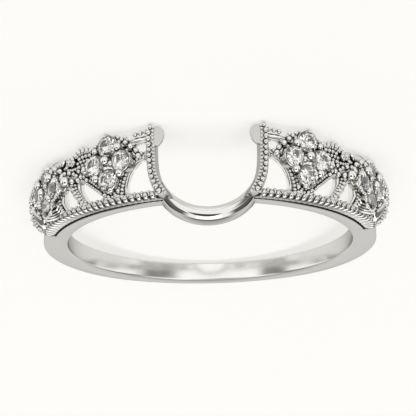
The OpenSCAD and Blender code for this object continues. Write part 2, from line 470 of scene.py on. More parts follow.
def white_gold(name, colour, dark, rough, bump, scale=900.0, shade_reach=None, edge=None):
    m, nodes, links, shader = material(name)
    shader.inputs["Metallic"].default_value = 1.0
    if edge:
        shader.inputs["Specular Tint"].default_value = (*edge, 1)
    tone = noise(nodes, links, scale * 0.35, 4.0)
    ramp = nodes.new("ShaderNodeValToRGB")
    ramp.color_ramp.elements[0].position = 0.3
    ramp.color_ramp.elements[0].color = (*dark, 1)
    ramp.color_ramp.elements[1].position = 0.7
    ramp.color_ramp.elements[1].color = (*colour, 1)
    links.new(tone.outputs["Fac"], ramp.inputs["Fac"])
    # Where other surfaces come close, the base colour is darkened by ambient occlusion within a short reach: painted
    # shade in crevices and between beads.
    if shade_reach:
        near = nodes.new("ShaderNodeAmbientOcclusion")
        near.samples = 6
        near.inputs["Distance"].default_value = shade_reach
        painted_crevice_shade = nodes.new("ShaderNodeValToRGB")
        painted_crevice_shade.color_ramp.elements[0].position = 0.4
        painted_crevice_shade.color_ramp.elements[0].color = (0.09, 0.088, 0.085, 1)
        painted_crevice_shade.color_ramp.elements[1].position = 0.88
        painted_crevice_shade.color_ramp.elements[1].color = (1, 1, 1, 1)
        links.new(near.outputs["AO"], painted_crevice_shade.inputs["Fac"])
        mix = nodes.new("ShaderNodeMix")
        mix.data_type = "RGBA"
        mix.blend_type = "MULTIPLY"
        mix.inputs["Factor"].default_value = 1.0
        links.new(ramp.outputs["Color"], mix.inputs["A"])
        links.new(painted_crevice_shade.outputs["Color"], mix.inputs["B"])
        links.new(mix.outputs["Result"], shader.inputs["Base Color"])
    else:
        links.new(ramp.outputs["Color"], shader.inputs["Base Color"])
    fine = noise(nodes, links, scale * 2.2, 5.0)
    links.new(span(nodes, links, fine.outputs["Fac"], rough[0], rough[1]), shader.inputs["Roughness"])
    b = nodes.new("ShaderNodeBump")
    b.inputs["Strength"].default_value = bump
    b.inputs["Distance"].default_value = 0.00001
    links.new(fine.outputs["Fac"], b.inputs["Height"])
    links.new(b.outputs["Normal"], shader.inputs["Normal"])
    return m


# The next seven materials are copies of one white gold. Their base colours differ to set how light or dark each part
# shows: painted light and shade. Their edge tints, where given, sit below the base colour to darken faces seen at a
# slant, painted shade as well. Their roughness and bump stand for the finishes.
polished = white_gold("polished_white_gold", (0.64, 0.635, 0.62), (0.61, 0.605, 0.59), (0.03, 0.08), 0.04, edge=(0.52, 0.515, 0.505))
soft = white_gold("soft_polish_white_gold", (0.73, 0.725, 0.71), (0.70, 0.695, 0.68), (0.12, 0.19), 0.04, edge=(0.58, 0.575, 0.565))
cast = white_gold("beaded_white_gold", (0.86, 0.855, 0.84), (0.80, 0.795, 0.78), (0.03, 0.08), 0.06, 1400.0, 0.00025)
grooved = white_gold("grooved_white_gold", (0.71, 0.705, 0.69), (0.68, 0.675, 0.66), (0.05, 0.1), 0.04, 900.0, 0.0003, (0.58, 0.575, 0.565))
milled = white_gold("milled_white_gold", (0.7, 0.695, 0.68), (0.66, 0.655, 0.64), (0.04, 0.09), 0.05, 1400.0, 0.0003, (0.55, 0.545, 0.535))
seat = white_gold("seat_white_gold", (0.86, 0.855, 0.84), (0.8, 0.795, 0.78), (0.05, 0.1), 0.05, 1400.0, edge=(0.75, 0.745, 0.735))
fine_beads = white_gold("milgrain_white_gold", (0.8, 0.795, 0.78), (0.74, 0.735, 0.72), (0.03, 0.08), 0.06, 1400.0, 0.00027)
# dark metal for the strip at the end of the outer cluster: painted shade of a hollow
hollow_shade_gold = white_gold("hollow_shade_paint", (0.24, 0.236, 0.23), (0.1, 0.098, 0.095), (0.2, 0.4), 0.3, 2600.0)
# near-black metal for the strip in the groove below the front rail: painted shadow
shadow_paint_gold = white_gold("groove_shadow_paint", (0.06, 0.058, 0.055), (0.03, 0.029, 0.028), (0.3, 0.5), 0.2, 1200.0)
# very light base colour for the cups under the stones: painted light, so the stones read bright
bright = white_gold("painted_light_cup_gold", (0.95, 0.945, 0.93), (0.9, 0.895, 0.88), (0.15, 0.3), 0.1, 1400.0)


def gem_material(name, tint):
    m, nodes, links, shader = material(name)
    shader.inputs["Transmission Weight"].default_value = 1.0
    shader.inputs["IOR"].default_value = 2.3
    # The stone's colour turns warm in random patches: painted light, standing for the coloured flashes of dispersion.
    n = noise(nodes, links, 700.0, 2.0)
    ramp = nodes.new("ShaderNodeValToRGB")
    ramp.color_ramp.elements[0].position = 0.35
    ramp.color_ramp.elements[0].color = (1, 1, 1, 1)
    ramp.color_ramp.elements[1].position = 0.75
    ramp.color_ramp.elements[1].color = (*tint, 1)
    links.new(n.outputs["Fac"], ramp.inputs["Fac"])
    links.new(ramp.outputs["Color"], shader.inputs["Base Color"])
    links.new(span(nodes, links, n.outputs["Fac"], 0.0, 0.02), shader.inputs["Roughness"])
    return m


gem = gem_material("brilliant", (1.0, 0.965, 0.93))

# ---------------------------------------------------------------- plain band
def rounded(rows, radii, steps=3):
    """Polygon rows with each corner rounded by its radius."""
    p = np.asarray(rows, float)
    out = []
    n = len(p)
    for i in range(n):
        a, b, c = p[i - 1], p[i], p[(i + 1) % n]
        r = radii[i]
        if r <= 0:
            out.append(b)
            continue
        u, w = a - b, c - b
        lu, lw = np.linalg.norm(u), np.linalg.norm(w)
        u, w = u / lu, w / lw
        r = min(r, 0.45 * lu, 0.45 * lw)
        s, e = b + u * r, b + w * r
        for t in np.linspace(0, 1, steps + 1):
            out.append((1 - t) ** 2 * s + 2 * t * (1 - t) * b + t * t * e)
    return np.array(out)


OUTER = np.array([(0, 9.62), (50, 9.62), (56, 9.85), (62, 10.1), (70, 10.16), (90, 10.16), (115, 10.16), (128, 10.17),
                  (138, 10.12), (147, 9.98), (156, 9.83), (166, 9.72), (175, 9.675), (180, 9.67)])
BACK = np.array([(0, 0.12), (52, 0.12), (57, -0.25), (62, -0.59), (180, -0.59)])


def table(rows, x):
    return float(np.interp(x, rows[:, 0], rows[:, 1]))


shank = Shape()
band = Shape()
rings = []
# sides and bottom of the shank
turns = np.concatenate([[76.9], np.arange(78, 120, 1.5), np.linspace(121, 180, 60)])
for phi in turns:
    ro = np.mean([table(OUTER, 180 - abs(180 - phi - d)) for d in (-6, -3, 0, 3, 6)]) if phi > 112 else table(OUTER, phi)
    lip = float(np.interp(phi, [77, 100, 125], [0.0, 0.3, 1.0]))
    crown = [(FINGER_R + lip * (0.11 * (q + 0.5) + 0.05 * (q + 0.5) ** 2), q) for q in np.linspace(0.52, -0.5, 9)]
    inner = FINGER_R + 0.03 + 0.19 * lip
    low_side = [(inner * (1 - q) + ro * q, -HALF_W + 0.05 * (2 * q - 1) ** 2) for q in np.linspace(0.1, 0.9, 7)]
    high_side = [(inner * (1 - q) + ro * q, HALF_W - 0.05 * lip * (2 * q - 1) ** 2) for q in np.linspace(0.9, 0.1, 7)]
    sec = rounded([(FINGER_R + 0.04, -HALF_W + 0.05)] + low_side + [(ro, -HALF_W + 0.05), (ro, HALF_W - 0.05 * lip)] + high_side
                  + [(inner, HALF_W - 0.05 * lip)] + crown, [0.03] + [0] * 7 + [0.08, 0.08] + [0] * 7 + [0.06] + [0.05] * 9)
    rings.append(cyl(phi, sec[:, 0], sec[:, 1]))
v, f = sweep(rings + [r * np.array([-1, 1, 1]) for r in rings[-2::-1]])
shank.add(v, f)
# under the head, with a groove below the front rail
rings = []
for phi in np.linspace(15.2, 77.1, 80):
    ro, lo = table(OUTER, phi), table(BACK, phi)
    cut = float(np.interp(phi, [15, 50, 77], [9.43, 9.46, 9.54]))
    sec = rounded([(FINGER_R, lo), (ro, lo), (ro, 0.3), (cut, 0.3), (cut, HALF_W), (FINGER_R, HALF_W)],
                  [0.07, 0.03, 0.03, 0.03, 0.04, 0.05])
    rings.append(cyl(phi, sec[:, 0], sec[:, 1]))
v, f = sweep(rings)
strip_base = Shape()
strip_base.add(v, f, True)

# dark strip in the groove below the front rail: painted shadow, it stands for the shade in the groove
groove_shadow_strip = Shape()
rings = []
for phi in np.linspace(16.5, 77.0, 80):
    sec = np.array([(9.34, 0.26), (9.68, 0.26), (9.68, 0.46), (9.34, 0.46)])
    rings.append(cyl(phi, sec[:, 0], sec[:, 1]))
v, f = sweep(rings)
groove_shadow_strip.add(v, f, True)

# polished arc in front of the cut-out
rings = []
for t in np.radians(np.linspace(-64, 64, 97)):
    d = np.array([math.sin(t), math.cos(t)])
    inner = np.array([0, NOTCH_A]) + NOTCH_R * d
    m = np.array([0, NOTCH_A - ARC_A])
    b = d @ m
    k = -b + math.sqrt(b * b - (m @ m - ARC_R ** 2))
    outer = np.array([0, NOTCH_A]) + k * d
    deg = abs(math.degrees(t))
    low = 8.69 + 0.8 * np.clip((deg - 50) / 14, 0, 1)
    top = 9.80
    w = np.linalg.norm(outer - inner)
    t = np.concatenate([np.linspace(0.12, 0.30, 4), [0.315, 0.33], np.linspace(0.345, 0.6, 6), np.linspace(0.62, 0.9, 12)]) * w
    lean = np.interp(t / w, [0, 0.56, 0.66, 0.84, 0.9], [0, 9, 34, 50, 60])
    sag = np.concatenate([[0], np.cumsum(np.diff(t) * np.tan(np.radians((lean[1:] + lean[:-1]) / 2)))])
    sag[4] += 0.012
    crown = [(0.0, top - 0.14), (0.015, top - 0.075), (0.045, top - 0.028), (0.08, top - 0.006)]
    crown += list(zip(t, top - sag))
    edge = top - sag[-1]
    crown += [(0.93 * w, edge - 0.08), (0.96 * w, edge - 0.2), (w + 0.005, max(edge - 0.42, low + 0.06))]
    sec = np.array([(0.0, low)] + crown + [(w + 0.01, low)])
    q = inner + d * sec[:, :1]
    rings.append(plan(q[:, 0], sec[:, 1], q[:, 1]))
v, f = sweep(rings)
band.add(v, f)

# ---------------------------------------------------------------- horns
# columns: height a, x of the wall's foot, of its rim, of the rail's outer side
HORN = np.array([(0.5, 1.95, 2.42, 2.92), (0.3, 2.06, 2.5, 3.02), (0.1, 2.2, 2.62, 3.14), (-0.25, 2.44, 2.82, 3.3),
                 (-0.6, 2.64, 2.96, 3.44), (-1.1, 2.8, 3.06, 3.54), (-1.8, 2.88, 3.1, 3.58), (-2.6, 2.9, 3.1, 3.58),
                 (-3.2, 2.93, 3.1, 3.54), (-3.5, 2.96, 3.08, 3.46), (-3.7, 3.0, 3.07, 3.34)])


def horn_top(a):
    """Radius of the beaded rail's upper side: it climbs over the knob at the tip."""
    return 10.54 + 0.16 * float(np.clip((-2.5 - a) / 0.7, 0, 1))


fine = smooth_path(HORN, 0.12)
rings = []
for a, x0, x1, x2 in fine:
    foot = 9.42 + 0.3 * np.clip((-2.6 - a) / 1.0, 0, 1)
    top = horn_top(a)
    sec = rounded([(x0, foot), (x1, top - 0.08), (x1 + 0.04, top), (x2 - 0.05, top), (x2, top - 0.1), (x2 - 0.04, foot)],
                  [0.04, 0.03, 0.03, 0.03, 0.03, 0.05], 2)
    rings.append(plan(sec[:, 0], sec[:, 1], a))
v, f = sweep(rings)
band.add(v, f, True)
# plain knob at the tip of each horn
prof = [(0, 0), (0.34, 0), (0.43, 0.03), (0.46, 0.08), (0.46, 0.3), (0.455, 0.33), (0.44, 0.35), (0.42, 0.358), (0.4, 0.3595), (0.39, 0.36), (0, 0.36)]
rings = []
for rho, rise in prof[1:-1]:
    row = []
    for q in np.linspace(0, 2 * np.pi, 64, endpoint=False):
        d = np.array([math.cos(q), math.sin(q)])
        spots = [(np.array([2.95, -3.25]), rho), (np.array([2.97, -2.99]), rho - 0.06), (np.array([3.0, -2.76]), rho - 0.19)]
        spot, r = max(spots, key=lambda g: g[0] @ d + g[1])
        row.append(spot + r * d)
    row = np.array(row)
    rings.append(np.stack([row[:, 0], np.full(len(row), -9.8 - rise), row[:, 1]], -1))
v, f = sweep(rings)
band.add(v, f, True)

# ---------------------------------------------------------------- openwork plate
OUTLINE = [(17.2, 0.45), (17.5, -0.4), (17.8, -1.2), (17.9, -2.2), (17.7, -3.2), (18.3, -3.3), (20.5, -3.26), (23.5, -3.2),
           (26.5, -3.14), (29.5, -3.2), (32, -3.34), (35, -3.26), (37.5, -2.98), (39.5, -2.84), (42, -2.94), (45, -2.98),
           (48, -2.84), (50.3, -2.62), (53, -2.62), (56.5, -2.7), (60, -2.74), (63, -2.62), (66, -2.34), (69, -2.16),
           (72, -1.98), (75, -1.78), (77.6, -1.5), (79.8, -1.2), (81.2, -0.8), (81.4, -0.45), (80.2, -0.1), (78.6, 0.15),
           (76, 0.4), (70, 0.45), (60, 0.45), (50, 0.45), (40, 0.45), (30, 0.45), (22, 0.45)]
TEARDROP = [(19.9, -1.56), (19.6, -1.31), (19.2, -0.99), (18.8, -0.62), (18.3, -0.24), (17.8, 0.06), (18.5, 0.16),
            (20.4, 0.17), (22.9, 0.17), (25.4, 0.13), (26.7, 0.0), (27.25, -0.23), (27.1, -0.53), (26.4, -0.91),
            (25.3, -1.28), (23.9, -1.57), (22.5, -1.74), (21.1, -1.77), (20.25, -1.7)]
WINDOW = [(24.4, -2.78), (22.2, -2.83), (19.8, -2.86), (19.7, -2.69), (20.3, -2.45), (21.4, -2.27), (22.2, -2.27), (23.4, -2.5)]
CRESCENT = [(47.0, -1.2), (47.05, -1.0), (46.6, -0.72), (45.4, -0.37), (43.8, -0.05), (41.7, 0.19), (39.5, 0.32),
            (37.4, 0.37), (35.7, 0.36), (34.4, 0.28), (35.2, 0.15), (36.3, 0.02), (37.2, -0.14), (38.6, -0.31),
            (39.9, -0.5), (42.1, -0.8), (43.9, -1.03), (45.1, -1.22), (46.2, -1.3)]
SLOT = [(55.9, -1.2), (56.1, -0.87), (55.9, -0.48), (54.8, -0.13), (52.9, 0.17), (50.6, 0.3), (48.5, 0.34), (47.3, 0.28),
        (47.4, 0.14), (48.4, -0.09), (49.7, -0.34), (51.0, -0.66), (52.1, -0.96), (53.2, -1.22), (54.3, -1.34), (55.3, -1.34)]


def ground(phi, a):
    """Radius of the plate's own surface: it swells under the outer cluster and dips at its end."""
    phi, a = np.asarray(phi, float), np.asarray(a, float)
    r = 10.42 + 0.24 / (1 + np.exp(-(phi - 57.5) / 1.0)) * np.exp(-((a + 1.3) / 1.1) ** 4)
    r = r - 0.5 * np.exp(-((phi - 76.6) / 3.4) ** 4 - ((a + 0.5 + 0.05 * (phi - 76)) / 0.42) ** 4)
    return r


plate = Shape()
sheet(plate, OUTLINE, [TEARDROP, WINDOW, CRESCENT, SLOT], ground, lambda phi, a: np.minimum(10.0, ground(phi, a) - 0.15))

# ---------------------------------------------------------------- clusters
INNER = dict(phi=32.8, a=-1.8, t=0.93, ax=1.03, d=1.28)
OUTER_C = dict(phi=62.8, a=-1.3, t=0.84, ax=0.86, d=1.14)
GIRDLE = 10.95


def on(cluster, t, ax, r):
    """Ring-frame point beside a cluster's middle, in its own tangent plane."""
    m = local_axes(cluster["phi"])
    return m[0] * t + m[1] * (cluster["a"] + ax) + m[2] * r


def places(c):
    return [(0, c["ax"]), (-c["t"], 0), (c["t"], 0), (0, -c["ax"])]


settings = Shape()
cups = Shape()
for c in (INNER, OUTER_C):
    d = c["d"]
    m = local_axes(c["phi"])
    for t, ax in places(c):
        r1, r0 = d / 2 + 0.05, d / 2 + 0.012
        prof = [(0.0, -0.72), (r0 - 0.1, -0.72), (r1, -0.68), (r1, -0.1), (r1 - 0.012, -0.05), (r1 - 0.025, -0.03), (r0, -0.04),
                (r0 - 0.02, -0.09), (0.2, -0.62), (0, -0.63)]
        v, f = lathe(prof, on(c, t, ax, GIRDLE), m[2], m[0], 56)
        settings.add(v, f, True)
        # cup under each stone, in the painted-light gold
        cone = [(0, -0.615), (0.2, -0.6), (r0 - 0.035, -0.08), (r0 - 0.045, -0.085), (0.19, -0.57), (0, -0.58)]
        v, f = lathe(cone, on(c, t, ax, GIRDLE), m[2], m[0], 32)
        cups.add(v, f, True)
        if c is OUTER_C:
            for q in np.linspace(0, 2 * np.pi, 18, endpoint=False):
                rim = d / 2 + 0.1
                ball(settings, on(c, t + rim * math.cos(q), ax + rim * math.sin(q), GIRDLE - 0.1), 0.095, m, small=True)
    # raised ground between the collets
    q, s = c["t"] * 0.75, c["ax"] * 0.75
    pts = [(q, s), (-q, s), (-q, -s), (q, -s)]
    v = [on(c, t, ax, r) for r in (10.1, 10.72) for t, ax in pts]
    settings.add(np.array(v), [(0, 3, 2, 1), (4, 5, 6, 7)] + [(i, (i + 1) % 4, (i + 1) % 4 + 4, i + 4) for i in range(4)], True)

# ---------------------------------------------------------------- prongs and beads
prongs = Shape()


def prong(phi, a, top, r, tall=1.0, stretch=(1, 1)):
    """Round-headed prong: a dome on a post that reaches down to the plate."""
    m = local_axes(phi)
    head = m[2] * (top - r * tall) + m[1] * a
    rows = [(0, -0.75), (r * 0.8, -0.75), (r * 0.82, -0.3), (r * 0.93, -0.12), (r, 0.0)]
    if phi > 53:
        rows = [(0, -0.8), (r * 0.45, -0.8), (r * 0.5, -0.9 * r), (r * 0.8, -0.6 * r), (r * 0.95, -0.3 * r), (r, 0.0)]
    for q in np.linspace(0.18, 1.45, 7):
        rows.append((r * math.cos(q), r * tall * math.sin(q)))
    rows.append((0, r * tall))
    v, f = lathe(rows, (0, 0, 0), m[2], m[0], 22)
    v = (v @ m[0])[:, None] * m[0] * stretch[0] + (v @ m[1])[:, None] * m[1] * stretch[1] + (v @ m[2])[:, None] * m[2]
    prongs.add(v + head, f, True)


# columns: phi, a, radius of the top, radius of the head, and its stretch round and along
PRONGS = [
    (33.2, -1.95, 11.28, 0.27, 1.0, 1.0), (31.2, -1.72, 11.16, 0.17, 1.0, 1.0), (29.0, -2.66, 11.16, 0.25, 1, 1),
    (37.2, -1.0, 11.14, 0.25, 1, 1), (28.4, -1.08, 11.13, 0.25, 1, 1), (42.0, -1.72, 11.06, 0.23, 1, 1),
    (25.4, -2.08, 11.0, 0.19, 1, 1), (31.8, -0.14, 11.0, 0.17, 1, 1), (37.4, -2.66, 11.08, 0.2, 1, 1),
    (33.4, -3.42, 11.0, 0.2, 1, 1), (31.2, -3.32, 10.94, 0.15, 1, 1), (35.5, -3.3, 10.94, 0.14, 1, 1),
    (51.9, -1.48, 11.1, 0.3, 1, 1), (56.8, -1.68, 11.2, 0.22, 1, 1), (60.1, -2.48, 11.0, 0.19, 1, 1),
    (61.3, -2.7, 11.15, 0.22, 1, 1), (60.0, -2.08, 11.25, 0.26, 1, 1), (68.0, -2.02, 11.27, 0.25, 1, 1),
    (65.0, -1.42, 11.28, 0.22, 0.9, 1.3), (77.2, -1.56, 11.24, 0.22, 1, 1), (59.9, -0.84, 11.2, 0.2, 0.9, 1.25),
    (66.5, -0.66, 11.2, 0.17, 1.1, 1), (79.5, -1.15, 11.15, 0.18, 1, 1), (80.0, -0.98, 10.95, 0.16, 1, 1),
    (80.6, -0.64, 11.05, 0.15, 1, 1), (80.8, -0.34, 10.9, 0.18, 1, 1), (78.6, 0.07, 10.65, 0.13, 1, 1),
    (73.4, -1.95, 11.12, 0.17, 1, 1), (71.9, -1.3, 11.2, 0.18, 1, 1), (60.2, 0.1, 10.98, 0.14, 1, 1),
    (62.2, -1.7, 11.16, 0.16, 1, 1), (70.6, -2.3, 11.2, 0.2, 1, 1), (57.8, -1.3, 11.06, 0.15, 1, 1),
    (73.8, -0.86, 11.16, 0.18, 1, 1), (70.0, -0.36, 11.02, 0.17, 1, 1), (57.2, -2.5, 11.0, 0.17, 1, 1),
    (54.6, -2.26, 10.96, 0.16, 1, 1), (64.6, -2.66, 11.12, 0.18, 1, 1),
]
for phi, a, top, r, sx, sy in PRONGS:
    prong(phi, a, top, r, 1.0, (sx, sy))


def bead(shape, phi, a, r, centre=10.62):
    ball(shape, cyl(phi, centre, a), r, local_axes(phi))


# columns: phi, a, radius of the bead, radius of its middle
BEADS = [
    (28.0, -3.16, 0.14, 10.68), (26.8, -2.94, 0.15, 10.66), (25.0, -2.66, 0.18, 10.64), (26.3, -2.44, 0.13, 10.64),
    (23.2, -2.36, 0.16, 10.58), (22.5, -2.03, 0.17, 10.6), (24.0, -2.12, 0.13, 10.56), (26.9, -3.26, 0.14, 10.66),
    (29.3, -3.32, 0.14, 10.68), (30.4, -3.42, 0.12, 10.66), (27.9, -2.78, 0.12, 10.64), (26.4, -3.12, 0.11, 10.6),
    (49.6, -1.42, 0.18, 10.6), (46.6, -1.36, 0.17, 10.56), (45.2, -1.5, 0.15, 10.58), (47.4, -1.66, 0.14, 10.58),
    (44.2, -1.82, 0.13, 10.6), (53.3, -2.06, 0.15, 10.62), (50.9, -1.98, 0.16, 10.6), (48.8, -1.84, 0.13, 10.58),
    (46.3, -1.9, 0.13, 10.58), (43.6, -1.44, 0.12, 10.6), (42.4, -1.2, 0.13, 10.62), (39.6, -3.0, 0.14, 10.62),
    (38.2, -3.06, 0.15, 10.64), (36.9, -3.14, 0.13, 10.66), (53.4, -1.62, 0.13, 10.66), (52.4, -2.36, 0.13, 10.6),
    (33.9, -0.4, 0.12, 10.62), (33.2, -0.22, 0.12, 10.62), (34.8, -0.2, 0.12, 10.6), (32.6, -0.04, 0.12, 10.58),
    (31.3, 0.02, 0.11, 10.56), (34.9, 0.0, 0.11, 10.56), (33.6, 0.16, 0.13, 10.56), (32.1, 0.2, 0.11, 10.54),
    (30.6, -0.3, 0.12, 10.6), (35.8, -0.36, 0.12, 10.6), (32.3, -0.36, 0.1, 10.66), (30.1, -0.62, 0.1, 10.6),
    (33.4, -0.16, 0.17, 10.62), (31.6, -0.16, 0.14, 10.6), (34.8, 0.0, 0.15, 10.56), (31.0, 0.14, 0.13, 10.54),
    (30.0, -0.1, 0.15, 10.56), (30.2, 0.24, 0.14, 10.52), (33.2, 0.3, 0.13, 10.52), (34.6, 0.26, 0.13, 10.52),
    (45.2, 0.2, 0.14, 10.5), (43.9, 0.34, 0.13, 10.5), (46.9, -0.04, 0.12, 10.5), (36.0, 0.26, 0.12, 10.5),
]
for phi, a, r, h in BEADS:
    bead(prongs, phi, a, r, h)

# ---------------------------------------------------------------- beaded edges
beads = Shape()
fine = smooth_path(HORN, 0.02)
s = np.concatenate([[0], np.cumsum(np.hypot(np.diff(fine[:, 0]), np.diff((fine[:, 2] + fine[:, 3]) / 2)))])
for share, shift, r, pitch in ((0.16, 0.0, 0.1, 0.215), (0.68, 0.3, 0.165, 0.33)):
    count = int(s[-1] / pitch)
    for k in range(count):
        q = (k + 0.5 + shift) * s[-1] / count
        if q > s[-1]:
            continue
        a, x1, x2 = (np.interp(q, s, fine[:, j]) for j in (0, 2, 3))
        x = x1 + share * (x2 - x1)
        phi = math.degrees(math.asin(x / 10.6))
        big = r * (1 + 0.07 * math.sin(7.7 * k))
        ball(beads, cyl(phi, horn_top(a) + 0.03, a), (big, big, big), local_axes(phi), small=True)

RIBBON = [(20.8, -2.08), (22.6, -2.02), (24.3, -1.88), (25.7, -1.66), (26.8, -1.42), (27.6, -1.14), (28.2, -0.86), (28.7, -0.58),
          (29.1, -0.3), (29.3, 0.0), (29.2, 0.34)]
strip(plate, RIBBON, 0.4, 10.48)
for side, st in ((-0.11, 0), (0.11, 0.5)):
    milgrain(beads, RIBBON, 0.115, 0.235, 10.52, side, start=st)
strip(plate, [(17.9, -1.95), (19.0, -2.02), (20.2, -2.05), (21.4, -2.1)], 0.2, 10.46)
milgrain(beads, [(17.9, -1.98), (19.0, -2.04), (20.0, -2.07)], 0.11, 0.22, 10.5)
milgrain(beads, [(23.4, -2.56), (24.2, -2.34), (24.6, -2.12)], 0.12, 0.24, 10.54)
CRES_EDGE = [(45.3, -1.34), (43.6, -1.12), (41.9, -0.9), (40.4, -0.68), (39.0, -0.5), (37.6, -0.32), (36.5, -0.12), (35.2, 0.06)]
strip(plate, CRES_EDGE, 0.2, 10.46)
milgrain(beads, CRES_EDGE, 0.115, 0.24, 10.5)
milgrain(beads, [(41.6, -1.16), (40.0, -0.94), (38.5, -0.72), (37.0, -0.5)], 0.1, 0.22, 10.56)
milgrain(beads, [(18.6, 0.3), (24, 0.3), (30, 0.3), (33.0, 0.34)], 0.12, 0.25, 10.48)
R2 = [(50.6, -1.36), (50.2, -1.0), (49.2, -0.7), (48.0, -0.42), (46.7, -0.12), (45.2, 0.16), (43.2, 0.4)]
strip(plate, R2, 0.3, 10.48)
milgrain(beads, R2, 0.155, 0.32, 10.5, 0.06)
milgrain(beads, [(49.0, -1.28), (48.6, -1.0), (47.8, -0.72), (46.6, -0.42), (45.2, -0.12), (43.4, 0.14)], 0.105, 0.235, 10.46)
SLOT_OUT = [(53.0, -1.5), (55.2, -1.52), (57.0, -1.32), (57.6, -0.9), (57.4, -0.42), (56.2, 0.0), (54.4, 0.3)]
milgrain(beads, SLOT_OUT, 0.11, 0.235, 10.52)
# concentric ribs round the lowest stone of the outer cluster
RIBS = [
    [(66.0, -0.42, 10.86), (64.6, -0.22, 10.86), (62.4, -0.08, 10.84), (59.4, 0.02, 10.76), (57.4, -0.06, 10.68), (56.8, -0.3, 10.64)],
    [(66.6, -0.24, 10.86), (64.8, -0.04, 10.84), (62.4, 0.1, 10.81), (59.4, 0.18, 10.72), (57.0, 0.12, 10.64), (56.0, -0.1, 10.58)],
    [(66.8, -0.06, 10.83), (64.8, 0.12, 10.8), (62.4, 0.24, 10.76), (59.2, 0.32, 10.68), (56.6, 0.28, 10.6), (55.2, 0.12, 10.54)],
    [(66.8, 0.12, 10.78), (64.8, 0.27, 10.74), (62.2, 0.37, 10.69), (59.0, 0.44, 10.63), (56.2, 0.42, 10.56), (54.2, 0.32, 10.5)],
]
for row in RIBS:
    wire(plate, row, 0.08)

# dark strip at the end of the outer cluster in a raised frame, with beads along it: painted shade, it stands for the
# shade in a hollow there
hollow_shade_strip = Shape()
HOLLOW_PATH = [(76.2, -0.96, 10.9), (74.4, -0.62, 10.97), (72.6, -0.34, 10.97), (70.8, -0.1, 10.92), (69.4, 0.12, 10.84), (68.4, 0.32, 10.74)]
strip(plate, [(r[0], r[1], r[2] - 0.04) for r in HOLLOW_PATH], 0.62, depth=0.85, edge=0.08)
strip(hollow_shade_strip, HOLLOW_PATH, 0.4, depth=0.12, edge=0.03, taper=0.15)
milgrain(beads, [(74.6, -1.0, 11.0), (72.6, -0.66, 11.04), (70.6, -0.38, 11.02), (68.8, -0.14, 10.96), (67.4, 0.06, 10.88)], 0.11, 0.22)
milgrain(beads, [(45.4, -1.3), (43.4, -1.12), (41.4, -0.86), (39.6, -0.6), (38.2, -0.38), (36.8, -0.18)], 0.1, 0.2, 10.56)

# back edge
milgrain(beads, [(19.0, -3.42), (20.4, -3.42), (22.0, -3.38), (24.4, -3.32)], 0.165, 0.36, 10.6)
BAR = [(18.4, -3.08), (20.0, -3.1), (22.0, -3.1), (24.2, -3.08), (25.8, -3.02)]
strip(plate, BAR, 0.24, 10.5, edge=0.11)
SCALLOP_1 = [(38.9, -2.92), (40.6, -3.02), (42.8, -3.1), (45.2, -3.12), (47.2, -3.02), (49.0, -2.86), (50.8, -2.7)]
strip(plate, SCALLOP_1, 0.2, 10.56)
petals = smooth_path(flat(hump(SCALLOP_1, 10.57)), 0.33)
for x, a, h in petals:
    ball(beads, wrap(x, a + 0.04, h), (0.15, 0.22, 0.15), local_axes(x / MM_PER_DEG), small=True)
milgrain(beads, [(40.4, -2.68), (42.4, -2.7), (44.8, -2.68), (46.6, -2.58)], 0.135, 0.27, 10.56)
milgrain(beads, [(40.0, -2.88), (42.4, -2.92), (45.0, -2.92), (47.4, -2.8)], 0.105, 0.22, 10.56)
milgrain(beads, [(39.0, -2.66), (40.2, -2.46), (42.4, -2.42), (44.8, -2.42), (47.2, -2.34)], 0.12, 0.25, 10.58)
milgrain(beads, [(40.6, -2.24), (42.4, -2.2), (44.8, -2.18), (46.6, -2.1)], 0.125, 0.26, 10.56)
milgrain(beads, [(41.8, -2.12), (43.4, -2.04), (45.0, -2.02)], 0.12, 0.25, 10.56)
milgrain(beads, [(45.9, -2.12), (47.6, -2.1), (49.2, -2.1), (50.8, -2.16), (52.2, -2.2)], 0.12, 0.25, 10.56)
milgrain(beads, [(50.4, -2.56), (51.4, -2.44), (52.6, -2.4), (53.8, -2.3)], 0.13, 0.27, 10.58)
SCALLOP_2 = [(52.6, -2.6), (54.2, -2.72), (56.4, -2.84), (58.8, -2.9), (61.0, -2.9)]
strip(plate, SCALLOP_2, 0.34, 10.66, edge=0.12)
for i in range(9):
    wire(plate, [(52.6 + i, -2.9 + 0.015 * i, 10.68), (53.0 + i, -2.72, 10.76), (53.5 + i, -2.5, 10.78)], 0.085)
milgrain(beads, [(48.2, -2.54), (49.6, -2.6), (51.0, -2.68), (52.6, -2.78)], 0.15, 0.29, 10.57)
milgrain(beads, [(49.0, -2.4), (50.2, -2.46), (51.6, -2.56), (52.8, -2.6)], 0.13, 0.26, 10.56)
milgrain(beads, [(50.4, -2.82), (51.6, -2.86), (52.8, -2.92)], 0.13, 0.26, 10.58)
milgrain(beads, [(54.6, -2.42, 10.66), (56.2, -2.34, 10.76), (57.4, -2.2, 10.84), (57.6, -1.96, 10.88)], 0.11, 0.22)
EDGE = [(62.6, -2.78, 10.72), (64.6, -2.62, 10.82), (66.8, -2.5, 10.9), (69.2, -2.32, 10.98), (71.6, -2.14, 11.03),
        (74.0, -1.94, 11.06), (76.4, -1.72, 11.06), (78.6, -1.45, 11.0), (80.2, -1.12, 10.94), (81.0, -0.76, 10.85),
        (80.6, -0.42, 10.73), (79.6, -0.12, 10.58), (77.8, 0.16, 10.46), (75.6, 0.34, 10.38)]
strip(plate, EDGE, 0.3, depth=0.75, edge=0.1)
milgrain(beads, EDGE, 0.17, 0.35)
milgrain(beads, [(r[0] - 1.1, r[1] + 0.06, r[2] - 0.02) for r in EDGE[7:12]], 0.11, 0.23)

